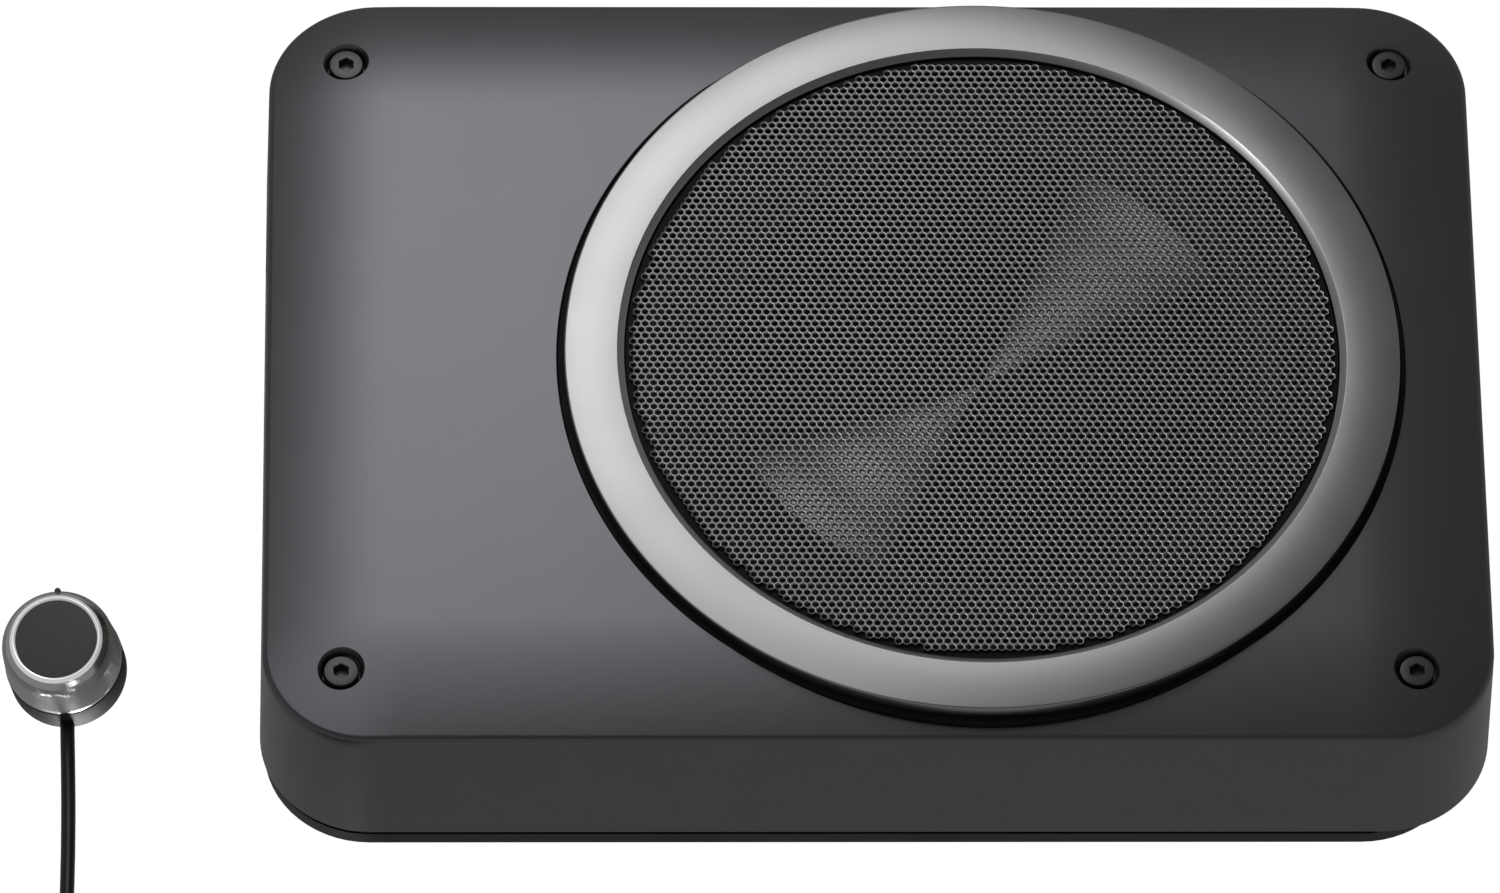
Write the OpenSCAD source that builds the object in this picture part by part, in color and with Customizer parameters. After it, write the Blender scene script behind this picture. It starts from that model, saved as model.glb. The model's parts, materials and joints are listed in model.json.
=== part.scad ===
/* [Casing] */
// Width of the casing at its upper edge
casing_w = 345; // [344.5:0.5:346]
// Depth of the casing at its upper edge
casing_d = 247.8; // [247:0.2:248.6]
// Corner radius of the casing at its upper edge
corner_r = 30; // [29:0.5:31]
// Height of the flat crown
crown_z = 58.5; // [58.4:0.1:58.8]
// How far the crown rolls down to the upper edge
roll_drop = 4.4; // [4:0.1:4.5]
// Width of the rolled band round the crown
roll_w = 38; // [36:1:40]
// How much further out each side wall stands at its foot
draft = 1.5; // [1:0.1:1.6]
// Thickness of the casing's walls
wall = 3; // [2.8:0.1:3]

/* [Ring and grille] */
// Distance of the woofer's axis to the right of the casing's centre
woofer_x = 30.6; // [30:0.2:31.4]
// Outer radius of the trim ring
ring_r = 118.6; // [117.6:0.2:118.8]
// Radius of the inner edge of the trim ring's flat top
ring_flat_r = 103.5; // [103:0.1:104]
// Height of the top of the trim ring
ring_z = 62.1; // [61.9:0.1:62.5]
// Radius of the grille
grille_r = 100.4; // [99.6:0.2:100.6]

/* [Woofer] */
// Outer radius of the diaphragm
cone_r = 77; // [76.5:0.5:77]
// Greatest travel of the diaphragm each way
cone_travel = 5; // [3:0.5:5]
// Radius of the magnet
magnet_r = 55; // [50:1:58]

/* [Screws] */
// Distance between the corner screws across the width
screw_pitch_x = 300.8; // [299:0.2:302]
// Distance between the corner screws across the depth
screw_pitch_y = 204.4; // [203:0.2:206]
// Width across the flats of the hex sockets
hex_flats = 4; // [3:0.5:5]
// Distance between the bracket holes across the width
bracket_pitch_x = 280; // [276:2:282]
// Distance between the bracket holes across the depth
bracket_pitch_y = 160; // [156:2:162]

/* [Remote and cord] */
// Radius of the remote's drum
remote_r = 16.8; // [16.7:0.1:17]
// Lean of the remote's axis
remote_lean = 12.8; // [12.6:0.1:13]
// Radius of the cord
cord_r = 2.05; // [2:0.01:2.1]
// Mean radius of the coiled part of the cord
coil_mean_r = 26.5; // [26.4:0.1:26.6]

/* [Hidden] */
$fn = 96;
eps = 0.01;
slack = 0.05;

// Casing levels and half sizes
casing_foot_z = 5.8;
edge_z = crown_z - roll_drop;
half_w = casing_w / 2;
half_d = casing_d / 2;
centre_x = half_w - corner_r;
centre_y = half_d - corner_r;
draft_rate = draft / (edge_z - casing_foot_z);
roll_r = (roll_w * roll_w + roll_drop * roll_drop) / (2 * roll_drop);

// Bottom plate
plate_top_z = 5.4;
plinth_z = 4.6;
plate_floor = 2;
plate_wall = 5;
plinth_left = -half_w - 0.3;
plinth_right = half_w - 5.5;
plinth_front = -half_d - 1.25;
plinth_back = half_d - 1.5;

// Deck that the woofer and the ring seat stand on
deck_z = 50;
deck_t = 4;
seat_r = 120.4;
deck_hole_r = 94;
ring_foot_z = 57.6;
grille_z = 59.8;
grille_t = 1;

// Woofer levels
flange_r = 104;
gasket_t = 1;
flange_z = deck_z + gasket_t;
flange_t = 2;
surround_z = flange_z + flange_t;
surround_t = 1;
roll_crest_r = 84.5;
roll_half_w = 7.5;
roll_rise = 4;
cone_t = 1.2;
cone_apex_z = 44;
former_r = 25;
pole_r = 23.4;
washer_z = 26;
washer_t = 5;
magnet_z = 14;
yoke_z = 7;
spider_z = 37;
spider_t = 1;
shelf_r = 50;
woofer_screw_r = 100;
woofer_screw_count = 8;

// Corner screws
head_r = 4.85;
head_top_z = 55.6;
head_h = 5;
recess_floor_r = 5.55;
recess_rim_r = 7.1;
boss_r = 8;
shank_r = 2.4;

// Terminal bay in the left wall
bay_face_x = -157;
bay_half = 62;
bay_low_z = 8.3;
bay_high_z = 48;
bay_wall = 2.5;
panel_t = 2;
upper_row_z = 37;
lower_row_z = 18;
rca_y = 50;
knob_y = 33;
switch_y = 18;
socket_y = 0;
fuse_y = -21;
led_y = -21;
power_y = -46;
power_z = 27;
rca_shell_r = 4.15;
trim_knob_r = 4.5;
slider_travel = 3;

// Amplifier board
board_z = 10;
board_t = 1.6;
board_x = [-132, -50];
board_y = [-88, 72];

// Remote, in its own frame with the middle of its drum's foot at the origin
remote_at = [-228.6, -71.1, 3.8];
remote_lean_to = -115.5;
wedge_r = 11;
band_h = 10.8;
knob_foot_z = 11.2;
knob_skirt_r = 16.7;
knob_shoulder = [15.9, 23.5];
knob_lip = [13.2, 27.3];
knob_seat_z = 25.9;
cap_r = 11.8;
remote_h = 28.1;
shaft_r = 3;
hub_foot_z = 16.1;
pocket_r = 12;
pocket_z = 0.5;
index_r = 0.9;
index_z = [22.4, 24.8];

// Cord
cord_x = -228.6;
cord_exit_z = 4;
cord_sides = 10;
cord_start = -85;
cord_bow = 0.95;
grommet_r = 2.6;
grommet_y = [-87.8, -83.6];
coil_x = -191.7;
coil_y = -196;
coil_foot = 0.6;
coil_half_w = 12.45;
coil_half_h = 8.2;
coil_outer_turn_r = 36.9;
tie_t = 0.6;
tie_w = 8;
route = [
  [cord_x, cord_start, 4], [cord_x, -88, 4], [bowed(-92), -92, 3.9], [bowed(-96), -96, 3.6],
  [bowed(-101), -101, 3.1], [bowed(-107), -107, 2.5],
  for (y = [-113, -120, -128, -136, -144, -152, -160, -167, -174, -180]) [bowed(y), y, 2.1]
];
tail_y = coil_y - coil_outer_turn_r;
tail = [
  [-179, tail_y, 13.4], [-174, tail_y, 11], [-169, tail_y, 7.6], [-164, tail_y, 4.8], [-158, tail_y, 3.4],
  [-154, tail_y, 3.2]
];
plug_x = [-154, -138];

// The cord bows a little to the right on its way to the coil
function bowed(y) = cord_x + cord_bow * sin(180 * (y + 88) / (-180 + 88));

// A flat disc, or a ring where it has an inner radius
module ring(r, inner, low, high) {
  translate([0, 0, low]) difference() {
    cylinder(r = r, h = high - low);
    if (inner > 0) translate([0, 0, -1]) cylinder(r = inner, h = high - low + 2);
  }
}

module block(x, y, z) {
  translate([x[0], y[0], z[0]]) cube([x[1] - x[0], y[1] - y[0], z[1] - z[0]]);
}

// A cylinder along X from x[0] to x[1]
module rod_x(r, x, y, z) {
  translate([x[0], y, z]) rotate([0, 90, 0]) cylinder(r = r, h = x[1] - x[0]);
}

module slab(x, y, r, z) {
  block([x[0] + r, x[1] - r], y, z);
  block(x, [y[0] + r, y[1] - r], z);
  for (cx = [x[0] + r, x[1] - r], cy = [y[0] + r, y[1] - r])
    translate([cx, cy, z[0]]) cylinder(r = r, h = z[1] - z[0]);
}

module at_woofer() {
  translate([woofer_x, 0, 0]) children();
}

module at_corners(pitch_x, pitch_y) {
  for (sx = [-1, 1], sy = [-1, 1]) translate([sx * pitch_x / 2, sy * pitch_y / 2, 0]) children();
}

// The casing's drafted outline between two heights, moved inward by inset
module drafted_block(inset, low, high) {
  grow_low = draft_rate * (edge_z - low) - inset;
  grow_high = draft_rate * (edge_z - high) - inset;
  rotate([90, 0, 90]) linear_extrude(height = 2 * centre_x, center = true) polygon([
    [-half_d - grow_low, low], [half_d + grow_low, low],
    [half_d + grow_high, high], [-half_d - grow_high, high]
  ]);
  rotate([90, 0, 0]) linear_extrude(height = 2 * centre_y, center = true) polygon([
    [-half_w - grow_low, low], [half_w + grow_low, low],
    [half_w + grow_high, high], [-half_w - grow_high, high]
  ]);
  at_corners(2 * centre_x, 2 * centre_y) translate([0, 0, low])
    cylinder(r1 = corner_r + grow_low, r2 = corner_r + grow_high, h = high - low);
}

// Section of the crown: flat in the middle with an arc down to each edge
module crown_section(half, lower) {
  margin = 6;
  flat = half - roll_w;
  translate([-flat, 0]) square([2 * flat, crown_z - lower]);
  for (side = [0, 1]) mirror([side, 0]) intersection() {
    translate([flat, crown_z - lower - roll_r]) circle(r = roll_r, $fn = 360);
    translate([flat - eps, 0]) square([roll_w + margin, crown_z]);
  }
}

module casing_body(inset, lower, low) {
  intersection() {
    drafted_block(inset, low, crown_z + 1);
    rotate([90, 0, 90]) linear_extrude(height = 2 * casing_w, center = true) crown_section(half_d, lower);
    rotate([90, 0, 0]) linear_extrude(height = 2 * casing_w, center = true) crown_section(half_w, lower);
  }
}

module top_cover() {
  color([0.28, 0.28, 0.3]) difference() {
    union() {
      difference() {
        casing_body(0, 0, casing_foot_z);
        casing_body(wall, wall, casing_foot_z - 1);
      }
      intersection() {
        casing_body(0, 0, casing_foot_z);
        union() {
          at_woofer() ring(seat_r + 3.6, 0, deck_z - deck_t, crown_z);
          block(
            [-casing_w, bay_face_x], [-bay_half - bay_wall, bay_half + bay_wall],
            [casing_foot_z, bay_high_z + bay_wall]
          );
        }
      }
      at_corners(screw_pitch_x, screw_pitch_y) ring(boss_r, 0, casing_foot_z, crown_z - 3);
    }
    at_woofer() ring(seat_r + 0.1, 0, deck_z, crown_z + 5);
    at_woofer() ring(deck_hole_r, 0, 0, deck_z + 1);
    at_woofer() screw_ring() ring(1.9 + slack, 0, deck_z - 6, deck_z + 1);
    block([-casing_w, bay_face_x + 1], [-bay_half, bay_half], [bay_low_z, bay_high_z]);
    at_corners(screw_pitch_x, screw_pitch_y) {
      ring(shank_r + 0.2, 0, 0, crown_z);
      ring(recess_floor_r, 0, head_top_z - head_h, crown_z + 1);
      translate([0, 0, crown_z - 4]) cylinder(r1 = recess_floor_r, r2 = recess_rim_r + 0.4, h = 4);
    }
  }
}

module bottom_plate() {
  color([0.08, 0.08, 0.08]) difference() {
    union() {
      difference() {
        union() {
          slab([plinth_left, plinth_right], [plinth_front, plinth_back], corner_r, [0, plinth_z]);
          slab(
            [-half_w - 0.7, half_w + 0.7], [-half_d - 0.7, half_d + 0.7], corner_r + 0.7,
            [plinth_z, plate_top_z]
          );
        }
        slab(
          [plinth_left + plate_wall, plinth_right - plate_wall],
          [plinth_front + plate_wall, plinth_back - plate_wall],
          corner_r - plate_wall, [plate_floor, plate_top_z + 1]
        );
      }
      at_corners(screw_pitch_x, screw_pitch_y) ring(boss_r, 0, 1, plate_top_z);
      at_corners(bracket_pitch_x, bracket_pitch_y) ring(6.5, 0, 1, 11);
      board_posts() ring(4, 0, 1, board_z);
    }
    at_corners(screw_pitch_x, screw_pitch_y) ring(shank_r + slack, 0, 1, plate_top_z + 1);
    at_corners(bracket_pitch_x, bracket_pitch_y) ring(2.5, 0, -1, 9);
    board_posts() ring(1.5 + slack, 0, 3, board_z + 1);
  }
}

module cover_gasket() {
  strip = 3;
  color([0.03, 0.03, 0.03]) difference() {
    slab([-half_w, half_w], [-half_d, half_d], corner_r, [plate_top_z, casing_foot_z]);
    slab(
      [-half_w + strip, half_w - strip], [-half_d + strip, half_d - strip], corner_r - strip,
      [plate_top_z - 1, casing_foot_z + 1]
    );
  }
}

module corner_screws() {
  socket_depth = 2.6;
  color([0.16, 0.16, 0.16]) at_corners(screw_pitch_x, screw_pitch_y) difference() {
    union() {
      ring(head_r, 0, head_top_z - head_h, head_top_z);
      ring(shank_r, 0, 1.5, head_top_z - head_h + eps);
    }
    translate([0, 0, head_top_z - socket_depth]) rotate([0, 0, 30])
      cylinder(r = hex_flats / 2 / cos(30), h = socket_depth + 1, $fn = 6);
  }
}

module trim_ring() {
  chamfer = 0.5;
  bore_r = grille_r + 1.1;
  color([0.72, 0.72, 0.72]) at_woofer() rotate_extrude($fn = 180) polygon([
    [bore_r, ring_foot_z], [ring_r, ring_foot_z], [ring_r, ring_z - chamfer], [ring_r - chamfer, ring_z],
    [ring_flat_r, ring_z], [bore_r, ring_z - 1.2]
  ]);
}

// The ring of black plastic that carries the trim ring and the grille
module ring_seat() {
  lip_r = grille_r + 0.8;
  color([0.02, 0.02, 0.02]) at_woofer() rotate_extrude($fn = 180) polygon([
    [flange_r + 1, deck_z], [seat_r, deck_z], [seat_r, ring_foot_z], [lip_r, ring_foot_z],
    [lip_r, grille_z], [lip_r - 3, grille_z], [lip_r - 3, ring_foot_z - 1.6],
    [flange_r + 1, ring_foot_z - 1.6]
  ]);
}

module grille_mesh() {
  color([0.35, 0.35, 0.37]) at_woofer() ring(grille_r, 0, grille_z, grille_z + grille_t, $fn = 180);
}

module screw_ring() {
  for (k = [0 : woofer_screw_count - 1]) rotate([0, 0, (k + 0.5) * 360 / woofer_screw_count])
    translate([woofer_screw_r, 0, 0]) children();
}

module basket() {
  rim_r = 93;
  sheet_t = 1.6;
  seat_top = washer_z + washer_t;
  color([0.15, 0.15, 0.16]) at_woofer() difference() {
    rotate_extrude() polygon([
      [former_r + 2.5, seat_top], [shelf_r + 2, seat_top], [shelf_r + 2, spider_z - 2],
      [shelf_r + 8, spider_z - 2], [rim_r, 42], [rim_r, flange_z],
      [flange_r, flange_z], [flange_r, flange_z + flange_t],
      [rim_r - 2, flange_z + flange_t], [rim_r - 2, 43.2], [shelf_r + 7, spider_z],
      [shelf_r - 4, spider_z], [shelf_r - 4, spider_z - sheet_t], [shelf_r, spider_z - sheet_t],
      [shelf_r, seat_top + sheet_t], [former_r + 2.5, seat_top + sheet_t]
    ]);
    for (k = [0 : 5]) rotate([0, 0, k * 60]) translate([73, 0, 0]) ring(12, 0, 30, 50);
    screw_ring() ring(2.2, 0, flange_z - 1, flange_z + flange_t + 1);
  }
}

module woofer_gasket() {
  color([0.05, 0.05, 0.05]) at_woofer() difference() {
    ring(flange_r, deck_hole_r + 1, deck_z, flange_z);
    screw_ring() ring(2.2, 0, deck_z - 1, flange_z + 1);
  }
}

module woofer_screws() {
  top = flange_z + flange_t;
  color([0.1, 0.1, 0.1]) at_woofer() screw_ring() difference() {
    union() {
      ring(3.6, 0, top, top + 2);
      ring(1.9, 0, deck_z - 5, top + eps);
    }
    block([-1.8, 1.8], [-0.4, 0.4], [top + 1, top + 3]);
    block([-0.4, 0.4], [-1.8, 1.8], [top + 1, top + 3]);
  }
}

module surround() {
  bow_r = (roll_half_w * roll_half_w + roll_rise * roll_rise) / (2 * roll_rise);
  bow_z = surround_z + surround_t + roll_rise - bow_r;
  color([0.06, 0.06, 0.06]) at_woofer() rotate_extrude() {
    intersection() {
      translate([roll_crest_r, bow_z]) difference() {
        circle(r = bow_r);
        circle(r = bow_r - surround_t);
      }
      translate([roll_crest_r - 9, surround_z]) square([18, 10]);
    }
    translate([73.5, surround_z]) square([roll_crest_r - roll_half_w - 73.5 + 0.4, surround_t]);
    translate([roll_crest_r + roll_half_w - 0.4, surround_z])
      square([95.5 - roll_crest_r - roll_half_w + 0.4, surround_t]);
  }
}

module cone() {
  color([0.3, 0.3, 0.31]) at_woofer() rotate_extrude() polygon([
    [0, cone_apex_z], [cone_r - 4, surround_z], [cone_r, surround_z], [cone_r, surround_z - cone_t],
    [cone_r - 4, surround_z - cone_t], [0, cone_apex_z - cone_t]
  ]);
}

module coil_former() {
  former_top = cone_apex_z - cone_t + former_r * (surround_z - cone_apex_z) / (cone_r - 4);
  color([0.75, 0.7, 0.55]) at_woofer() ring(former_r, former_r - 0.6, 21, former_top - 0.2);
}

module voice_coil() {
  color([0.72, 0.4, 0.2]) at_woofer() ring(former_r + 0.9, former_r, 21.5, 35.5);
}

// Corrugated centring disc between the former and the basket's shelf
module spider() {
  color([0.75, 0.6, 0.3]) at_woofer() {
    ring(shelf_r - 1, former_r + 0.95, spider_z, spider_z + spider_t);
    for (r = [30 : 5 : 40]) ring(r + 1.5, r, spider_z + spider_t - eps, spider_z + spider_t + 0.8);
  }
}

module top_washer() {
  color([0.5, 0.5, 0.5]) at_woofer() ring(magnet_r - 2, former_r + 2, washer_z, washer_z + washer_t);
}

module magnet() {
  color([0.2, 0.2, 0.2]) at_woofer() ring(magnet_r, 32, magnet_z, washer_z);
}

module yoke() {
  color([0.55, 0.55, 0.55]) at_woofer() {
    ring(magnet_r - 2, 0, yoke_z, magnet_z);
    ring(pole_r, 0, magnet_z - eps, washer_z + washer_t);
  }
}

module terminal_tab() {
  color([0.1, 0.1, 0.1]) difference() {
    block([-71, woofer_x - 90], [-11, 11], [44, 46]);
    at_woofer() ring(93, 0, 40, 50);
  }
}

// Sweeps a many-sided tube along points that bend little about the direction side
function unit(v) = v / norm(v);
function heading(p, i) = unit(p[min(i + 1, len(p) - 1)] - p[max(i - 1, 0)]);
function hoop(p, i, r, n, side) =
  let (t = heading(p, i), u = unit(side - (side * t) * t), w = cross(t, u))
  [for (k = [0 : n - 1]) p[i] + r * (cos(360 * k / n) * u + sin(360 * k / n) * w)];

module swept_tube(p, r, n, side) {
  last = len(p) - 1;
  points = [for (i = [0 : last]) each hoop(p, i, r, n, side)];
  walls = [
    for (i = [0 : last - 1], k = [0 : n - 1])
      let (a = i * n, b = (k + 1) % n) [a + k, a + n + k, a + n + b, a + b]
  ];
  ends = [[for (k = [0 : n - 1]) k], [for (k = [n - 1 : -1 : 0]) last * n + k]];
  polyhedron(points, concat(walls, ends));
}

module speaker_leads() {
  top = board_z + board_t;
  color([0.5, 0.1, 0.1]) for (y = [-6, 6]) swept_tube(
    [[-68, y, 44], [-68, y, 40], [-69, y, 35], [-71, y, 30], [-72, y, 24], [-72, y, 18], [-72, y, top]],
    1.2, 8, [0, 1, 0]
  );
}

module board_posts() {
  for (x = [board_x[0] + 5, board_x[1] - 5], y = [board_y[0] + 5, board_y[1] - 5])
    translate([x, y, 0]) children();
}

module amp_board() {
  color([0.05, 0.3, 0.15]) difference() {
    block(board_x, board_y, [board_z, board_z + board_t]);
    board_posts() ring(1.7, 0, board_z - 1, board_z + board_t + 1);
  }
}

module board_screws() {
  top = board_z + board_t;
  color([0.6, 0.6, 0.6]) board_posts() {
    ring(2.8, 0, top, top + 1.8);
    ring(1.5, 0, board_z - 6, top + eps);
  }
}

module capacitors() {
  top = board_z + board_t;
  color([0.1, 0.12, 0.3]) for (y = [-64, -42, -20, 2]) translate([-120, y, 0]) {
    ring(9, 0, top, top + 30);
    ring(9, 7.5, top + 30 - eps, top + 30.8);
  }
}

module output_inductor() {
  core_r = 12;
  wire_r = 5;
  color([0.7, 0.4, 0.2]) translate([-92, -50, board_z + board_t + wire_r]) rotate_extrude()
    translate([core_r, 0]) circle(r = wire_r);
}

module heatsink_bar() {
  color([0.7, 0.7, 0.72]) difference() {
    block([-132, -54], [78, 90], [plate_floor, 34]);
    for (x = [-126 : 8 : -60]) block([x, x + 4], [84, 91], [6, 35]);
  }
}

module power_transistors() {
  top = board_z + board_t;
  color([0.08, 0.08, 0.08]) for (x = [-124 : 18 : -70]) {
    block([x, x + 10], [73.4, 78], [16, 32]);
    for (leg = [1.5, 4.6, 7.7]) block([x + leg, x + leg + 0.8], [73.6, 74.4], [top - board_t, 16 + eps]);
  }
}

module terminal_panel() {
  face = [bay_face_x, bay_face_x + panel_t];
  cut = [bay_face_x - 1, bay_face_x + panel_t + 1];
  color([0.1, 0.1, 0.1]) difference() {
    block(face, [-bay_half - bay_wall, bay_half + bay_wall], [casing_foot_z + 0.4, bay_high_z + bay_wall]);
    for (z = [lower_row_z, upper_row_z]) {
      rod_x(5, cut, rca_y, z);
      rod_x(3.6, cut, knob_y, z);
      block(cut, [switch_y - 1.9, switch_y + 1.9], [z - 3.4, z + 3.4]);
    }
    block(cut, [socket_y - 8, socket_y + 8], [upper_row_z - 5.5, upper_row_z + 5.5]);
    block(cut, [socket_y - 7.5, socket_y + 7.5], [lower_row_z - 6.5, lower_row_z + 6.5]);
    block(cut, [fuse_y - 9, fuse_y + 9], [lower_row_z - 5, lower_row_z + 5]);
    block(cut, [power_y - 12, power_y + 12], [power_z - 9, power_z + 9]);
    rod_x(1.6, cut, led_y, upper_row_z);
  }
}

// The metal shell of a phono jack, with a flange behind it
module rca_shell(z) {
  difference() {
    union() {
      rod_x(rca_shell_r, [bay_face_x - 9.5, bay_face_x + 6], rca_y, z);
      rod_x(6.5, [bay_face_x - 1, bay_face_x], rca_y, z);
    }
    rod_x(3.4, [bay_face_x - 10, bay_face_x + 7], rca_y, z);
  }
}

module rca_insulator(z) {
  difference() {
    rod_x(3.4, [bay_face_x - 8.5, bay_face_x + 8], rca_y, z);
    rod_x(1.6, [bay_face_x - 9, bay_face_x - 1], rca_y, z);
  }
}

module rca_jack_left() {
  color([0.8, 0.8, 0.8]) rca_shell(upper_row_z);
}

module rca_jack_right() {
  color([0.8, 0.8, 0.8]) rca_shell(lower_row_z);
}

module rca_insulator_left() {
  color([0.9, 0.9, 0.9]) rca_insulator(upper_row_z);
}

module rca_insulator_right() {
  color([0.75, 0.08, 0.08]) rca_insulator(lower_row_z);
}

// A rectangular socket whose mouth opens to the left
module socket_shell(y, z, half_y, half_z, edge, front, depth) {
  inner_y = half_y - edge;
  inner_z = half_z - edge;
  difference() {
    block([front, bay_face_x + 12], [y - half_y, y + half_y], [z - half_z, z + half_z]);
    block([front - 1, front + depth], [y - inner_y, y + inner_y], [z - inner_z, z + inner_z]);
  }
}

module speaker_input_socket() {
  color([0.9, 0.9, 0.85]) socket_shell(socket_y, upper_row_z, 8, 5.5, 1.2, bay_face_x - 9, 16);
}

module power_socket() {
  color([0.85, 0.85, 0.8]) socket_shell(power_y, power_z, 12, 9, 1.4, bay_face_x - 9.5, 18);
}

module remote_jack() {
  color([0.06, 0.06, 0.06]) socket_shell(socket_y, lower_row_z, 7.5, 6.5, 1.5, bay_face_x - 3, 12);
}

module fuse_holder() {
  color([0.06, 0.06, 0.06]) socket_shell(fuse_y, lower_row_z, 9, 5, 1.4, bay_face_x - 3, 13);
}

module fuse() {
  color([0.85, 0.2, 0.15]) {
    block(
      [bay_face_x - 7, bay_face_x + 1], [fuse_y - 7.4, fuse_y + 7.4],
      [lower_row_z - 2.2, lower_row_z + 2.2]
    );
    for (y = [fuse_y - 5.5, fuse_y + 2.3])
      block([bay_face_x + 1 - eps, bay_face_x + 10], [y, y + 3.2], [lower_row_z - 0.4, lower_row_z + 0.4]);
  }
}

module socket_pins() {
  color([0.85, 0.75, 0.4]) {
    for (y = [-5, 0, 5]) rod_x(0.6, [bay_face_x - 1, bay_face_x + 7], socket_y + y, upper_row_z);
    for (y = [power_y - 5.5, power_y + 5.5], z = [power_z - 3.6, power_z + 3.6])
      rod_x(1, [bay_face_x - 1, bay_face_x + 8.5], y, z);
  }
}

module pot_body(z) {
  difference() {
    union() {
      block([bay_face_x + panel_t, bay_face_x + 11], [knob_y - 5.5, knob_y + 5.5], [z - 5.5, z + 5.5]);
      rod_x(3.5, [bay_face_x - 2, bay_face_x + panel_t + eps], knob_y, z);
    }
    rod_x(2 + slack, [bay_face_x - 3, bay_face_x + 9], knob_y, z);
  }
}

// A ribbed trim knob with a screwdriver slot and its spindle
module trim_knob(z) {
  front = bay_face_x - 9;
  difference() {
    union() {
      rod_x(trim_knob_r, [front, bay_face_x - 2.6], knob_y, z);
      rod_x(2, [bay_face_x - 2.6 - eps, bay_face_x + 8.5], knob_y, z);
    }
    block([front - 1, front + 1], [knob_y - 0.5, knob_y + 0.5], [z - 3.4, z + 3.4]);
    for (a = [0 : 30 : 330]) translate([0, knob_y, z]) rotate([a, 0, 0])
      rod_x(0.5, [front - 1, front + 5], trim_knob_r + 0.1, 0);
  }
}

module level_pot() {
  color([0.3, 0.3, 0.3]) pot_body(upper_row_z);
}

module level_knob() {
  color([0.12, 0.12, 0.12]) trim_knob(upper_row_z);
}

module lpf_pot() {
  color([0.3, 0.3, 0.3]) pot_body(lower_row_z);
}

module lpf_knob() {
  color([0.12, 0.12, 0.12]) trim_knob(lower_row_z);
}

module switch_body(z) {
  inside = bay_face_x + panel_t;
  difference() {
    block([inside, inside + 8], [switch_y - 4, switch_y + 4], [z - 6, z + 6]);
    block([inside - 1, inside + 5], [switch_y - 1.9, switch_y + 1.9], [z - 3.4, z + 3.4]);
  }
}

module switch_slider(z) {
  block([bay_face_x - 3, bay_face_x + 6], [switch_y - 1.5, switch_y + 1.5], [z - 3, z]);
}

module phase_switch() {
  color([0.3, 0.3, 0.3]) switch_body(upper_row_z);
}

module phase_slider() {
  color([0.9, 0.9, 0.9]) switch_slider(upper_row_z);
}

module sensitivity_switch() {
  color([0.3, 0.3, 0.3]) switch_body(lower_row_z);
}

module sensitivity_slider() {
  color([0.9, 0.9, 0.9]) switch_slider(lower_row_z);
}

module power_led() {
  color([0.2, 0.7, 0.3]) {
    rod_x(1.5, [bay_face_x - 1, bay_face_x + 3], led_y, upper_row_z);
    rod_x(2, [bay_face_x + panel_t, bay_face_x + 6], led_y, upper_row_z);
  }
}

module at_remote() {
  translate(remote_at) rotate([0, 0, remote_lean_to]) rotate([0, remote_lean, 0])
    rotate([0, 0, -remote_lean_to]) children();
}

// The drum leans on a wedge that is cut off flat where it stands on the floor
module remote_base() {
  color([0.06, 0.06, 0.06]) difference() {
    intersection() {
      at_remote() {
        ring(remote_r, 0, 0, band_h);
        ring(wedge_r, 0, -14, pocket_z / 2);
      }
      block([-270, -190], [-110, -30], [0, 40]);
    }
    at_remote() ring(pocket_r, 0, pocket_z, band_h + 1);
    translate([cord_x, -80, cord_exit_z]) rotate([90, 0, 0]) cylinder(r = grommet_r, h = 14);
  }
}

module remote_knob() {
  hollow_r = 12.4;
  hollow_z = 19.5;
  hub_r = 6;
  color([0.7, 0.7, 0.7]) at_remote() {
    rotate_extrude() {
      polygon([
        [hollow_r, knob_foot_z], [knob_skirt_r, knob_foot_z], [knob_skirt_r, knob_foot_z + 1.4],
        knob_shoulder, knob_lip, [knob_lip[0], knob_seat_z], [shaft_r, knob_seat_z],
        [shaft_r, hollow_z], [hollow_r, hollow_z]
      ]);
      translate([shaft_r, hub_foot_z]) square([hub_r - shaft_r, hollow_z - hub_foot_z + eps]);
    }
    translate([0, knob_shoulder[0] - 0.2, 0]) ring(index_r, 0, index_z[0], index_z[1]);
  }
}

module knob_ring() {
  color([0.85, 0.85, 0.85]) at_remote() rotate_extrude() polygon([
    [cap_r, knob_seat_z], [knob_lip[0], knob_seat_z], knob_lip, [knob_lip[0] - 0.9, remote_h],
    [cap_r, remote_h]
  ]);
}

module knob_cap() {
  color([0.05, 0.05, 0.05]) at_remote() ring(cap_r, 0, knob_seat_z, remote_h - 0.2);
}

module knob_shaft() {
  color([0.6, 0.6, 0.6]) at_remote() ring(shaft_r, 0, pocket_z + 1.5, knob_seat_z);
}

module remote_pot() {
  case_top = 10.5;
  bush_top = 15.5;
  color([0.3, 0.3, 0.32]) at_remote() difference() {
    union() {
      ring(8, 0, pocket_z, case_top);
      ring(4.5, 0, case_top - eps, bush_top);
    }
    ring(shaft_r + slack, 0, pocket_z + 1.2, bush_top + 1);
  }
}

module cord_grommet() {
  color([0.04, 0.04, 0.04]) translate([cord_x, grommet_y[1], cord_exit_z]) rotate([90, 0, 0])
    ring(grommet_r, cord_r, 0, grommet_y[1] - grommet_y[0]);
}

module remote_cord() {
  color([0.1, 0.1, 0.1]) {
    swept_tube(route, cord_r, cord_sides, [1, 0, 0]);
    swept_tube(tail, cord_r, cord_sides, [0, 1, 0]);
  }
}

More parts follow.
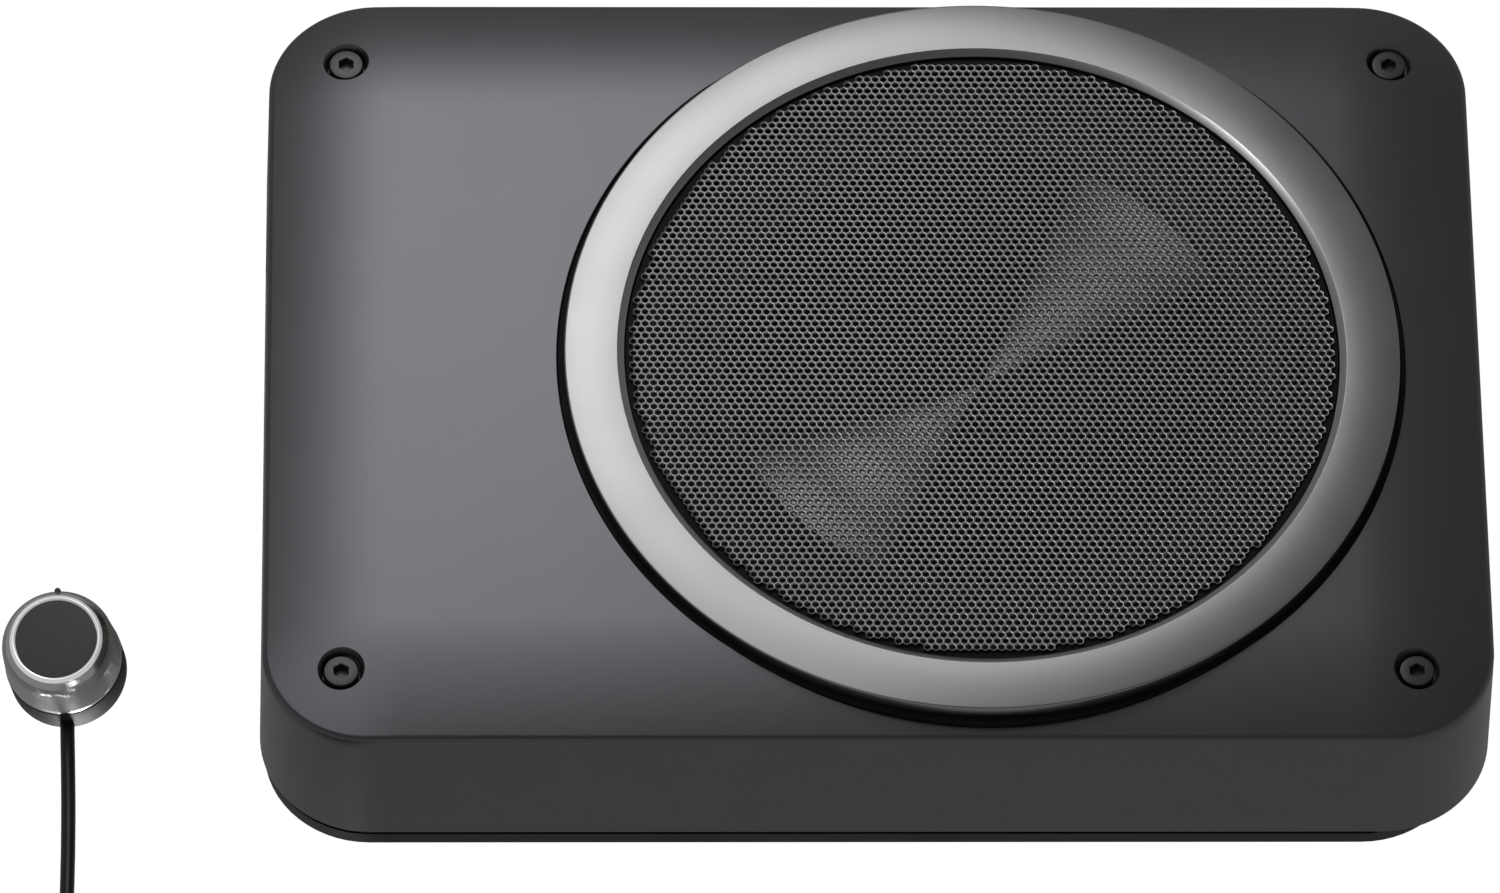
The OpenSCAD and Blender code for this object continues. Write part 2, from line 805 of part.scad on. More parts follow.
module cord_coil() {
  straight_w = coil_half_w - cord_r;
  straight_h = coil_half_h - cord_r;
  color([0.1, 0.1, 0.1]) translate([coil_x, coil_y, coil_foot + coil_half_h]) rotate_extrude()
    translate([coil_mean_r, 0]) {
      square([2 * coil_half_w, 2 * straight_h], center = true);
      square([2 * straight_w, 2 * coil_half_h], center = true);
      for (sx = [-1, 1], sy = [-1, 1]) translate([sx * straight_w, sy * straight_h]) circle(r = cord_r);
    }
}

module cord_tie() {
  inner_x = [coil_x + coil_mean_r - coil_half_w - 0.7, coil_x + coil_mean_r + coil_half_w + 0.1];
  inner_top = coil_foot + 2 * coil_half_h + 0.1;
  color([0.03, 0.03, 0.03]) difference() {
    block(
      [inner_x[0] - tie_t, inner_x[1] + tie_t], [coil_y - tie_w / 2, coil_y + tie_w / 2],
      [0, inner_top + tie_t]
    );
    block(inner_x, [coil_y - tie_w, coil_y + tie_w], [tie_t, inner_top]);
  }
}

// Six-way modular plug with its latch
module modular_plug() {
  color([0.8, 0.8, 0.8]) difference() {
    union() {
      block(plug_x, [tail_y - 4.8, tail_y + 4.8], [0, 6.4]);
      block([plug_x[0] + 3, plug_x[1] - 1], [tail_y - 1.6, tail_y + 1.6], [6.4 - eps, 7.6]);
    }
    for (y = [tail_y - 2.5 : 1 : tail_y + 2.5])
      block([plug_x[1] - 4, plug_x[1] + 1], [y - 0.2, y + 0.2], [4.6, 6.1]);
  }
}

top_cover();
bottom_plate();
cover_gasket();
corner_screws();
trim_ring();
ring_seat();
grille_mesh();
basket();
woofer_gasket();
woofer_screws();
surround();
cone();
coil_former();
voice_coil();
spider();
top_washer();
magnet();
yoke();
terminal_tab();
speaker_leads();
amp_board();
board_screws();
capacitors();
output_inductor();
power_transistors();
heatsink_bar();
terminal_panel();
rca_jack_left();
rca_jack_right();
rca_insulator_left();
rca_insulator_right();
speaker_input_socket();
power_socket();
socket_pins();
fuse_holder();
fuse();
remote_jack();
level_pot();
level_knob();
lpf_pot();
lpf_knob();
phase_switch();
phase_slider();
sensitivity_switch();
sensitivity_slider();
power_led();
remote_base();
remote_knob();
knob_ring();
knob_cap();
knob_shaft();
remote_pot();
cord_grommet();
remote_cord();
cord_coil();
cord_tie();
modular_plug();
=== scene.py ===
import json
import math
import bmesh
import bpy
import numpy as np
from mathutils import Matrix, Vector


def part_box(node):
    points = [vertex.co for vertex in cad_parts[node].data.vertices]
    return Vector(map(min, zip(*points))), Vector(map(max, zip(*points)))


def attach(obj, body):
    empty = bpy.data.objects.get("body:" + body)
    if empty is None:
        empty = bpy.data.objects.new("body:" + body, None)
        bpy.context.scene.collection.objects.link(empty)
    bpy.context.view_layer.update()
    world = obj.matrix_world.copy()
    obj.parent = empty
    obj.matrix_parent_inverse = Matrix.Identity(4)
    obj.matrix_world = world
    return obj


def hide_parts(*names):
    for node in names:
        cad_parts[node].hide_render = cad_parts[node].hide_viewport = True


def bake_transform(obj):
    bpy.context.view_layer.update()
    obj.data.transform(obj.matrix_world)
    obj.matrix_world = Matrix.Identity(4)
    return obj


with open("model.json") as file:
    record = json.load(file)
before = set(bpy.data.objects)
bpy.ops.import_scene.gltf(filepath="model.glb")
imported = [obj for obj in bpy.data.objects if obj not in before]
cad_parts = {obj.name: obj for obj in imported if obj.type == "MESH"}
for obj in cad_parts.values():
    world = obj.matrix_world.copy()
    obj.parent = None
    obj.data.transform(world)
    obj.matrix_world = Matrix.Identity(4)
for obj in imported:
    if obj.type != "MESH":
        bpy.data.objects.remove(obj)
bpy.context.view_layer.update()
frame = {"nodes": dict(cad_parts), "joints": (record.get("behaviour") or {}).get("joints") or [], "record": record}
nodes = frame["nodes"]
record = frame["record"]
joints = {joint["name"]: joint for joint in frame["joints"]}
MM = 0.001
TURN = 2 * math.pi


def box_mm(node):
    """A CAD node's lowest and highest corners, in millimetres"""
    low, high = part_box(node)
    return np.array(low) / MM, np.array(high) / MM


def new_object(name, data):
    thing = bpy.data.objects.new(name, data)
    bpy.context.scene.collection.objects.link(thing)
    return thing


# ---------------------------------------------------------------- measures, in millimetres
ring_low, ring_high = box_mm("trim_ring")
AXIS = ((ring_low[0] + ring_high[0]) / 2, (ring_low[1] + ring_high[1]) / 2)
RING_R = (ring_high[0] - ring_low[0]) / 2
RING_TOP = ring_high[2]
RING_FOOT = ring_low[2]
cover_low, cover_high = box_mm("top_cover")
CROWN_Z = cover_high[2]
FOOT_Z = cover_low[2]
ROLL_DROP = 4.4
ROLL_W = 38.0
EDGE_Z = CROWN_Z - ROLL_DROP
DRAFT = 1.5
DRAFT_RATE = DRAFT / (EDGE_Z - FOOT_Z)
HALF_W = cover_high[0] - DRAFT
HALF_D = cover_high[1] - DRAFT
CORNER_R = 30.0
CREASE = 1.6
WALL = 3.0
DECK_Z = 50.0
DECK_HOLE_R = 94.0
SEAT_R = 120.4
grille_low, grille_high = box_mm("grille_mesh")
head_low, head_high = box_mm("corner_screws")
HEAD_R = 4.85
HEAD_T = 5.0
SCREW_X = head_high[0] - HEAD_R
SCREW_Y = head_high[1] - HEAD_R
SCREW_PLACES = [(sx * SCREW_X, sy * SCREW_Y) for sx in (-1, 1) for sy in (-1, 1)]
BAY_X = box_mm("terminal_panel")[0][0]
BAY_HALF = 62.0
BAY_Z = (8.3, 48.0)
BAY_WALL = 2.5
knob_joint = joints["remote_knob_turn"]
REMOTE_AT = Vector(knob_joint["pos_m"]) / MM
REMOTE_TURN = Vector((0, 0, 1)).rotation_difference(Vector(knob_joint["axis"])).to_matrix()
REMOTE_R = 16.8
REMOTE_H = 28.1
coil_low, coil_high = box_mm("cord_coil")
CORD_R = 2.05


# ---------------------------------------------------------------- camera
CAMERA_AT = Vector((-0.1048, -1.8553, 2.9442))
CAMERA_PITCH = math.radians(57.685)
CAMERA_YAW = math.radians(1.163)
SENSOR_W = 36
LENS = 290.3
FAR_CLIP = 20


def make_camera():
    camera = new_object("camera", bpy.data.cameras.new("camera"))
    ahead = Vector((0, math.cos(CAMERA_PITCH), -math.sin(CAMERA_PITCH)))
    right = Vector((1, 0, 0))
    up = right.cross(ahead)
    turned = ahead * math.cos(CAMERA_YAW) + right * math.sin(CAMERA_YAW)
    side = turned.cross(up)
    camera.matrix_world = Matrix.Translation(CAMERA_AT) @ Matrix((side, up, -turned)).transposed().to_4x4()
    camera.data.sensor_width = SENSOR_W
    camera.data.lens = LENS
    camera.data.clip_end = FAR_CLIP
    bpy.context.scene.camera = camera
    bpy.context.scene.view_settings.view_transform = "Standard"


make_camera()


# ---------------------------------------------------------------- materials
def noise(tree, where, scale, detail):
    node = tree.nodes.new("ShaderNodeTexNoise")
    node.inputs["Scale"].default_value = scale
    node.inputs["Detail"].default_value = detail
    tree.links.new(where, node.inputs["Vector"])
    return node.outputs["Fac"]


def ranged(tree, source, low, high, source_low=0.3, source_high=0.7):
    """The source's middle spread over low to high"""
    node = tree.nodes.new("ShaderNodeMapRange")
    node.inputs["From Min"].default_value = source_low
    node.inputs["From Max"].default_value = source_high
    node.inputs["To Min"].default_value = low
    node.inputs["To Max"].default_value = high
    tree.links.new(source, node.inputs["Value"])
    return node.outputs["Result"]


def maths(tree, operation, a, b):
    """One step of arithmetic on two outputs, or on an output and a number"""
    node = tree.nodes.new("ShaderNodeMath")
    node.operation = operation
    tree.links.new(a, node.inputs[0])
    if isinstance(b, (int, float)):
        node.inputs[1].default_value = b
    else:
        tree.links.new(b, node.inputs[1])
    return node.outputs[0]


def times(tree, a, b):
    return maths(tree, "MULTIPLY", a, b)


def painted_bow_tie(tree, place, start, full, low):
    """Painted highlight in the base colour: 1 along the diagonal where x equals y and low away from it, a fixed
    bow-tie standing in for the glint of turned grooves
    """
    parts = tree.nodes.new("ShaderNodeSeparateXYZ")
    tree.links.new(place, parts.inputs[0])
    x, y = parts.outputs["X"], parts.outputs["Y"]
    reach = maths(tree, "ADD", times(tree, x, x), times(tree, y, y))
    diagonal = times(tree, maths(tree, "DIVIDE", times(tree, x, y), reach), 2.0)
    return ranged(tree, diagonal, low, 1, start, full)


def finish_of(name, colour, rough, metal=0.0, vary=0.12, rough_vary=0.05, grain=900, bump=0.15,
              depth=0.00005, patch=60, spec=0.5, stretch=(1, 1, 1), aniso=0.0, emit=0.0, clear=0.0, coat=0.0,
              painted_highlight=None):
    """A surface whose colour and roughness drift in patches and whose height follows a fine grain"""
    material = bpy.data.materials.new(name)
    material.use_nodes = True
    tree = material.node_tree
    shader = tree.nodes["Principled BSDF"]
    where = tree.nodes.new("ShaderNodeTexCoord")
    mapping = tree.nodes.new("ShaderNodeMapping")
    mapping.inputs["Scale"].default_value = stretch
    tree.links.new(where.outputs["Object"], mapping.inputs["Vector"])
    patches = noise(tree, mapping.outputs["Vector"], patch, 3)
    fine = noise(tree, mapping.outputs["Vector"], grain, 2)
    both = maths(tree, "ADD", times(tree, patches, 0.5), times(tree, fine, 0.5))
    level = ranged(tree, both, 1 - vary, 1 + vary)
    # optional painted highlight: the base colour is multiplied by a fixed bow-tie pattern
    if painted_highlight:
        level = times(tree, level, painted_bow_tie(tree, where.outputs["Object"], *painted_highlight))
    tint = tree.nodes.new("ShaderNodeVectorMath")
    tint.operation = "SCALE"
    tint.inputs[0].default_value = colour
    tree.links.new(level, tint.inputs["Scale"])
    tree.links.new(tint.outputs[0], shader.inputs["Base Color"])
    drift = ranged(tree, patches, max(0.02, rough - rough_vary), min(1, rough + rough_vary))
    tree.links.new(drift, shader.inputs["Roughness"])
    height = tree.nodes.new("ShaderNodeBump")
    height.inputs["Strength"].default_value = bump
    height.inputs["Distance"].default_value = depth
    tree.links.new(fine, height.inputs["Height"])
    tree.links.new(height.outputs["Normal"], shader.inputs["Normal"])
    shader.inputs["Metallic"].default_value = metal
    shader.inputs["Specular IOR Level"].default_value = spec
    shader.inputs["Coat Weight"].default_value = coat
    shader.inputs["Transmission Weight"].default_value = clear
    if emit:
        shader.inputs["Emission Color"].default_value = (*colour, 1)
        shader.inputs["Emission Strength"].default_value = emit
    if aniso:
        tangent = tree.nodes.new("ShaderNodeTangent")
        tangent.direction_type = "RADIAL"
        tangent.axis = "Z"
        shader.inputs["Anisotropic"].default_value = aniso
        shader.inputs["Anisotropic Rotation"].default_value = 0.25
        tree.links.new(tangent.outputs["Tangent"], shader.inputs["Tangent"])
    return material


FINISHES = {
    "casing_paint": dict(colour=(0.15, 0.152, 0.163), rough=0.35, metal=0.92, vary=0.02, rough_vary=0.005,
                         grain=1300, bump=0.3),
    "base_black": dict(colour=(0.012, 0.012, 0.012), rough=0.5, grain=1200, bump=0.2),
    "seal_foam": dict(colour=(0.006, 0.006, 0.006), rough=0.8, grain=2500, bump=0.4),
    "screw_black": dict(colour=(0.09, 0.09, 0.088), rough=0.38, metal=0.75, grain=1500, bump=0.12),
    "ring_aluminium": dict(colour=(0.39, 0.387, 0.384), rough=0.31, metal=1, vary=0.02, rough_vary=0.01,
                           grain=2600, bump=0.08),
    "seat_black": dict(colour=(0.004, 0.004, 0.004), rough=0.6, spec=0.2),
    "grille_steel": dict(colour=(0.28, 0.28, 0.29), rough=0.35, metal=1, vary=0.04, grain=2500, bump=0.1),
    "basket_steel": dict(colour=(0.02, 0.02, 0.02), rough=0.5),
    "surround_rubber": dict(colour=(0.012, 0.012, 0.012), rough=0.5, grain=2500),
    # the diaphragm's base colour carries a painted bow-tie highlight and is nearly black away from it
    "cone_paper": dict(colour=(0.6, 0.6, 0.61), rough=0.46, metal=1, vary=0.04, grain=3000, bump=0.05,
                       aniso=0.86, painted_highlight=(0.72, 0.98, 0.03)),
    "former_paper": dict(colour=(0.6, 0.42, 0.2), rough=0.45),
    "copper": dict(colour=(0.62, 0.25, 0.12), rough=0.3, metal=1, stretch=(1, 1, 8)),
    "spider_cloth": dict(colour=(0.5, 0.33, 0.12), rough=0.85, grain=3500, bump=0.5),
    "plated_steel": dict(colour=(0.55, 0.55, 0.54), rough=0.32, metal=1, vary=0.06),
    "ferrite": dict(colour=(0.045, 0.045, 0.047), rough=0.7, bump=0.3),
    "black_plastic": dict(colour=(0.016, 0.016, 0.017), rough=0.42, grain=1800, bump=0.2),
    "lead_wire": dict(colour=(0.3, 0.015, 0.012), rough=0.4),
    "circuit_board": dict(colour=(0.01, 0.09, 0.035), rough=0.35, vary=0.2),
    "capacitor_sleeve": dict(colour=(0.012, 0.016, 0.06), rough=0.25),
    "transistor_epoxy": dict(colour=(0.014, 0.014, 0.014), rough=0.55),
    "heatsink_aluminium": dict(colour=(0.6, 0.6, 0.61), rough=0.35, metal=1, stretch=(1, 1, 0.1)),
    "jack_nickel": dict(colour=(0.72, 0.69, 0.62), rough=0.18, metal=1, vary=0.04),
    "insulator_white": dict(colour=(0.72, 0.72, 0.7), rough=0.4),
    "insulator_red": dict(colour=(0.45, 0.012, 0.012), rough=0.4),
    "socket_nylon": dict(colour=(0.62, 0.59, 0.5), rough=0.45),
    "pin_tin": dict(colour=(0.7, 0.6, 0.32), rough=0.25, metal=1),
    "fuse_body": dict(colour=(0.5, 0.035, 0.02), rough=0.2, coat=0.3),
    "pot_case": dict(colour=(0.4, 0.4, 0.4), rough=0.3, metal=1),
    "slider_white": dict(colour=(0.7, 0.7, 0.69), rough=0.4),
    "led_lens": dict(colour=(0.08, 0.5, 0.12), rough=0.2, emit=0.15, coat=0.4),
    "remote_black": dict(colour=(0.013, 0.013, 0.016), rough=0.6, grain=2200, bump=0.1, spec=0.1),
    "knob_aluminium": dict(colour=(0.72, 0.72, 0.72), rough=0.26, metal=1, vary=0.05, grain=3000, bump=0.06),
    # painted highlight: the polished lip glows by its emission, though it is no lamp
    "knob_polished": dict(colour=(0.85, 0.85, 0.85), rough=0.16, metal=1, vary=0.02, rough_vary=0.02,
                          bump=0.02, emit=0.4),
    "cap_black": dict(colour=(0.1, 0.1, 0.1), rough=0.5, grain=2600, bump=0.1),
    "shaft_steel": dict(colour=(0.5, 0.5, 0.5), rough=0.3, metal=1),
    "cord_pvc": dict(colour=(0.016, 0.016, 0.016), rough=0.36, grain=1500, bump=0.12),
    "tie_rubber": dict(colour=(0.01, 0.01, 0.01), rough=0.6),
    "plug_clear": dict(colour=(0.75, 0.76, 0.78), rough=0.12, vary=0.02, clear=0.75),
}
materials = {slot: finish_of(slot, **look) for slot, look in FINISHES.items()}
for part in record["subparts"]:
    node = nodes[part["node"]]
    node.data.materials.clear()
    node.data.materials.append(materials[part["material_slot"]])


# ---------------------------------------------------------------- mesh helpers
def mesh_object(name, points, groups, slot, sharp=35):
    """A closed mesh from points in millimetres and arrays of faces, each with one number of corners"""
    mesh = bpy.data.meshes.new(name)
    points = np.asarray(points, float)
    groups = [np.asarray(group, int) for group in groups if len(group)]
    sizes = np.concatenate([np.full(len(group), group.shape[1]) for group in groups])
    corners = np.concatenate([group.ravel() for group in groups])
    mesh.vertices.add(len(points))
    mesh.vertices.foreach_set("co", (points * MM).astype(np.float32).ravel())
    mesh.loops.add(len(corners))
    mesh.loops.foreach_set("vertex_index", corners.astype(np.int32))
    mesh.polygons.add(len(sizes))
    mesh.polygons.foreach_set("loop_start", (np.cumsum(sizes) - sizes).astype(np.int32))
    mesh.update(calc_edges=True)
    work = bmesh.new()
    work.from_mesh(mesh)
    bmesh.ops.remove_doubles(work, verts=work.verts, dist=1e-7)
    bmesh.ops.recalc_face_normals(work, faces=work.faces)
    work.to_mesh(mesh)
    work.free()
    shade(mesh, sharp)
    mesh.materials.append(materials[slot])
    return new_object(name, mesh)


def shade(mesh, sharp):
    """Smooth, but for edges that turn by more degrees than sharp"""
    mesh.polygons.foreach_set("use_smooth", np.ones(len(mesh.polygons), bool))
    mesh.set_sharp_from_angle(angle=math.radians(sharp))


def eased(start, knee, end, steps):
    """Points from start to end on a curve that leans toward the knee"""
    return [(1 - t) ** 2 * start + 2 * t * (1 - t) * knee + t * t * end for t in np.linspace(0, 1, steps + 1)]


def softened(profile, radii, closed=True):
    """The profile with a small round of each corner's own radius in place of its corners"""
    points = [np.array(point, float) for point in profile]
    made = []
    for k, (point, r) in enumerate(zip(points, radii)):
        on_end = not closed and k in (0, len(points) - 1)
        before, after = points[k - 1] - point, points[(k + 1) % len(points)] - point
        if r == 0 or on_end:
            made.append(point)
            continue
        before, after = before / np.linalg.norm(before), after / np.linalg.norm(after)
        half = math.acos(np.clip(before @ after, -1, 1)) / 2
        reach = r / math.tan(half)
        made += eased(point + before * reach, point, point + after * reach, 3)
    return np.array(made)


def turned_faces(rows, columns, wrap_rows, wrap_columns, first=0):
    """Quads of a grid whose point (row, column) has the index first + row * columns + column"""
    r = np.arange(rows if wrap_rows else rows - 1)
    c = np.arange(columns if wrap_columns else columns - 1)
    r, c = (grid.ravel() for grid in np.meshgrid(r, c, indexing="ij"))
    r2, c2 = (r + 1) % rows, (c + 1) % columns
    return first + np.stack([r * columns + c, r * columns + c2, r2 * columns + c2, r2 * columns + c], 1)


def lathe_data(profile, centre=(0, 0), count=192):
    """Points and faces of a turned profile of (radius, height). One with no hole starts on its axis"""
    angle = np.arange(count) * TURN / count
    profile = np.asarray(profile, float)
    solid = profile[0][0] == 0
    x = np.outer(profile[:, 0], np.cos(angle)) + centre[0]
    y = np.outer(profile[:, 0], np.sin(angle)) + centre[1]
    z = np.repeat(profile[:, 1][:, None], count, 1)
    points = np.stack([x, y, z], 2).reshape(-1, 3)
    return points, [turned_faces(len(profile), count, not solid, True)]


def lathe(name, profile, slot, centre=(0, 0), count=192, sharp=35):
    points, groups = lathe_data(profile, centre, count)
    return mesh_object(name, points, groups, slot, sharp)


def joined(*parts):
    """Several (points, groups) as one"""
    points, groups, first = [], [], 0
    for own, faces in parts:
        points.append(own)
        groups.extend(np.asarray(group) + first for group in faces)
        first += len(own)
    return np.concatenate(points), groups


def box_data(x, y, z):
    """Points and faces of a block from its lowest and highest x, y and z"""
    points = np.array([(a, b, c) for a in x for b in y for c in z], float)
    faces = [(0, 1, 3, 2), (4, 6, 7, 5), (0, 4, 5, 1), (2, 3, 7, 6), (0, 2, 6, 4), (1, 5, 7, 3)]
    return points, [np.array(faces)]


def to_remote(points):
    """From the remote's own frame to the row's"""
    return np.asarray(points) @ np.array(REMOTE_TURN).T + np.array(REMOTE_AT)


def carve(target, cutter):
    """Cuts the cutter out of the target and removes the cutter"""
    change = target.modifiers.new("carve", "BOOLEAN")
    change.object = cutter
    change.solver = "EXACT"
    change.operation = "DIFFERENCE"
    ready = target.evaluated_get(bpy.context.evaluated_depsgraph_get())
    made = bpy.data.meshes.new_from_object(ready)
    target.modifiers.clear()
    target.data = made
    bpy.data.objects.remove(cutter)


def settle(piece, body, slot, *stands_for):
    """Puts the piece under its body and hides the CAD nodes that it stands for. The slot is not used."""
    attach(piece, body)
    if stands_for:
        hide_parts(*stands_for)
    return piece


# ---------------------------------------------------------------- cord of the remote
COIL_CENTRE = ((coil_low[0] + coil_high[0]) / 2, (coil_low[1] + coil_high[1]) / 2)
COIL_OUTER = (coil_high[0] - coil_low[0]) / 2 - CORD_R
COIL_FOOT = coil_low[2]
PITCH = 4.15
LAYER_TURNS = 5
LAYERS = 4
CLIMB_TURNS = 5 / 12
STEPS_PER_TURN = 36
CORD_X = COIL_CENTRE[0] - COIL_OUTER
CORD_BOW = 0.95
BOW_FROM = -88
BOW_TO = -180
CORD_LEAD = [(-88.5, 4), (-92, 3.9), (-96, 3.6), (-101, 3.1), (-107, 2.5), (-113, 2.15), (-120, 2.1)]
CORD_LEAD += [(y, 2.1) for y in (-130, -140, -150, -160, -168)]
CORD_LEAD += [(-176, 2.15), (-184, 2.3), (-190, 2.5)]
TAIL = [(-185, 14.4), (-179, 13.2), (-174, 11), (-169, 7.8)]
TAIL += [(-164, 5), (-158, 3.5), (-154, 3.25), (-150, 3.25)]


def coil_points():
    """Layers of a flat spiral, by turns inward and outward. Their climbs add up to end it at the front"""
    inner = COIL_OUTER - LAYER_TURNS * PITCH
    angle, made = math.pi, []
    for layer in range(LAYERS):
        start, end = (COIL_OUTER, inner) if layer % 2 == 0 else (inner, COIL_OUTER)
        low = COIL_FOOT + CORD_R + layer * 2 * CORD_R
        for k in range(LAYER_TURNS * STEPS_PER_TURN):
            share = k / (LAYER_TURNS * STEPS_PER_TURN)
            made.append((angle + share * LAYER_TURNS * TURN, start + (end - start) * share, low))
        angle += LAYER_TURNS * TURN
        if layer < LAYERS - 1:
            count = round(CLIMB_TURNS * STEPS_PER_TURN)
            for k in range(count):
                share = k / count
                rise = share * share * (3 - 2 * share)
                made.append((angle + share * CLIMB_TURNS * TURN, end, low + 2 * CORD_R * rise))
            angle += CLIMB_TURNS * TURN
    made.append((angle, COIL_OUTER, low))
    cx, cy = COIL_CENTRE
    return [(cx + r * math.cos(a), cy + r * math.sin(a), z) for a, r, z in made]


def bowed(y):
    """The cord's x on its way to the coil"""
    return CORD_X + CORD_BOW * max(0, math.sin(math.pi * (y - BOW_FROM) / (BOW_TO - BOW_FROM)))


def make_cord():
    """The whole run from the grommet through the coil to the plug, and the place where it starts"""
    route = [(bowed(y), y, z) for y, z in CORD_LEAD]
    route += coil_points()
    route += [(x, COIL_CENTRE[1] - COIL_OUTER, z) for x, z in TAIL]
    line = bpy.data.curves.new("remote_cord_run", "CURVE")
    line.dimensions = "3D"
    line.bevel_depth = CORD_R * MM
    line.bevel_resolution = 5
    line.use_fill_caps = True
    spline = line.splines.new("POLY")
    spline.points.add(len(route) - 1)
    for point, place in zip(spline.points, route):
        point.co = (*(Vector(place) * MM), 1)
    spline.use_smooth = True
    line.materials.append(materials["cord_pvc"])
    cord = new_object("remote_cord_run", line)
    settle(cord, "enclosure", "cord_pvc", "remote_cord", "cord_coil")
    return cord, Vector(route[0]) * MM


cord, cord_exit = make_cord()


# ---------------------------------------------------------------- casing
STRAIGHT = (0.03, 0.08, 0.15, 0.25, 0.375, 0.5, 0.625, 0.75, 0.85, 0.92, 0.97)
CORNER_STEPS = 24
FOOT_BEVEL = 0.4
WALL_LEVELS = (12, 22, 32, 42, 49)
CROWN_INSETS = [2.4, 3.4] + list(np.arange(5, ROLL_W + 1.5, 2))
LEAST_CORNER_R = 6
INNER_TOP_INSET = 22


def outline(half_x, half_y, radius):
    """Points round a rectangle with round corners, anticlockwise, in the same number for any size"""
    made = []
    for k in range(4):
        turn = k * math.pi / 2
        side_x, side_y = (half_x, half_y) if k % 2 == 0 else (half_y, half_x)
        cx, cy = side_x - radius, side_y - radius
        own = [(side_x, -cy + 2 * cy * t) for t in STRAIGHT]
        corner = np.linspace(0, math.pi / 2, CORNER_STEPS + 1)
        own += [(cx + radius * math.cos(a), cy + radius * math.sin(a)) for a in corner]
        c, s = math.cos(turn), math.sin(turn)
        made += [(x * c - y * s, x * s + y * c) for x, y in own]
    return np.array(made)


def into_roll(place, half):
    """How far a place is into the rolled edge, from 0 on the flat to 1 at the casing's side"""
    return np.clip((np.abs(place) - (half - ROLL_W)) / ROLL_W, 0, 1.2)


def crown(x, y):
    """Height of the casing's top"""
    tx, ty = into_roll(x, HALF_W), into_roll(y, HALF_D)
    return CROWN_Z - ROLL_DROP * (tx * tx + ty * ty)


def crown_normal(x, y):
    tx, ty = into_roll(x, HALF_W), into_roll(y, HALF_D)
    slope = 2 * ROLL_DROP / ROLL_W
    normal = np.stack([slope * tx * np.sign(x), slope * ty * np.sign(y), np.ones_like(tx)], -1)
    return normal / np.linalg.norm(normal, axis=-1, keepdims=True)


def skin_normal(points):
    """Normals of the casing's outer skin at points on it, and how far each point is in from the wall"""
    x, y, z = points[:, 0], points[:, 1], points[:, 2]
    qx, qy = np.abs(x) - (HALF_W - CORNER_R), np.abs(y) - (HALF_D - CORNER_R)
    in_corner = (qx > 0) & (qy > 0)
    reach = np.where(in_corner, np.hypot(qx, qy), np.maximum(qx, qy))
    inset = CORNER_R + DRAFT_RATE * (EDGE_Z - z) - reach
    nx = np.where(in_corner, qx / np.maximum(reach, 1e-9), qx > qy) * np.sign(x)
    ny = np.where(in_corner, qy / np.maximum(reach, 1e-9), qy >= qx) * np.sign(y)
    wall = np.stack([nx, ny, np.full_like(nx, DRAFT_RATE)], 1)
    wall /= np.linalg.norm(wall, axis=1, keepdims=True)
    share = np.sqrt(np.clip(inset / CREASE, 0, 1))[:, None]
    normal = wall * (1 - share) + crown_normal(x, y) * share
    return normal / np.linalg.norm(normal, axis=1, keepdims=True), inset


def plan_at(z, inset=0.0):
    """The drafted wall's outline at a height, or one that far in from it"""
    grow = DRAFT_RATE * (EDGE_Z - z) - inset
    return outline(HALF_W + grow, HALF_D + grow, CORNER_R + grow)


def level_ring(z, inset=0.0):
    plan = plan_at(z, inset)
    return np.column_stack([plan, np.full(len(plan), z)])


def on_crown(plan):
    return np.column_stack([plan, crown(plan[:, 0], plan[:, 1])])


def casing_rings():
    """Rings of points from the foot up the wall, over the crease and in across the crown"""
    rings = [level_ring(FOOT_Z, FOOT_BEVEL), level_ring(FOOT_Z + FOOT_BEVEL)]
    rings += [level_ring(z) for z in WALL_LEVELS]
    knee = on_crown(plan_at(EDGE_Z))
    below = np.column_stack([plan_at(EDGE_Z - CREASE), knee[:, 2] - CREASE])
    rings += eased(below, knee, on_crown(plan_at(EDGE_Z, CREASE)), 6)
    for inset in CROWN_INSETS:
        radius = max(CORNER_R - inset, LEAST_CORNER_R)
        rings.append(on_crown(outline(HALF_W - inset, HALF_D - inset, radius)))
    return rings


def solid_of_rings(rings):
    """Points and faces of the solid between the rings, closed at both ends"""
    count = len(rings[0])
    points = np.concatenate(rings)
    low = np.arange(count)[::-1][None, :]
    high = (np.arange(count) + count * (len(rings) - 1))[None, :]
    return points, [turned_faces(len(rings), count, False, True), low, high]


def inner_rings():
    """Rings of points of the room inside the casing"""
    top = CROWN_Z - WALL - 1.2
    levels = [(FOOT_Z - 1, WALL), (40, WALL), (EDGE_Z - WALL - 1, WALL), (top, INNER_TOP_INSET)]
    return [level_ring(z, inset) for z, inset in levels]


def smooth_skin(mesh):
    """Gives the casing's outer skin the normals of its true shape, so that cuts in it don't show"""
    co = np.zeros(len(mesh.vertices) * 3)
    mesh.vertices.foreach_get("co", co)
    co = co.reshape(-1, 3) / MM
    own, inset = skin_normal(co)
    corners = np.zeros(len(mesh.loops), int)
    mesh.loops.foreach_get("vertex_index", corners)
    given = np.zeros((len(corners), 3))
    for face in mesh.polygons:
        middle = np.array(face.center)[None, :] / MM
        true, depth = skin_normal(middle)
        on_top = abs(middle[0, 2] - crown(middle[0, 0], middle[0, 1])) < 0.4
        on_side = abs(depth[0]) < CREASE and middle[0, 2] > FOOT_Z + 0.3
        if (on_top or on_side) and true[0] @ np.array(face.normal) > 0.93:
            span = range(face.loop_start, face.loop_start + face.loop_total)
            given[list(span)] = own[corners[list(span)]]
    mesh.normals_split_custom_set(given.tolist())


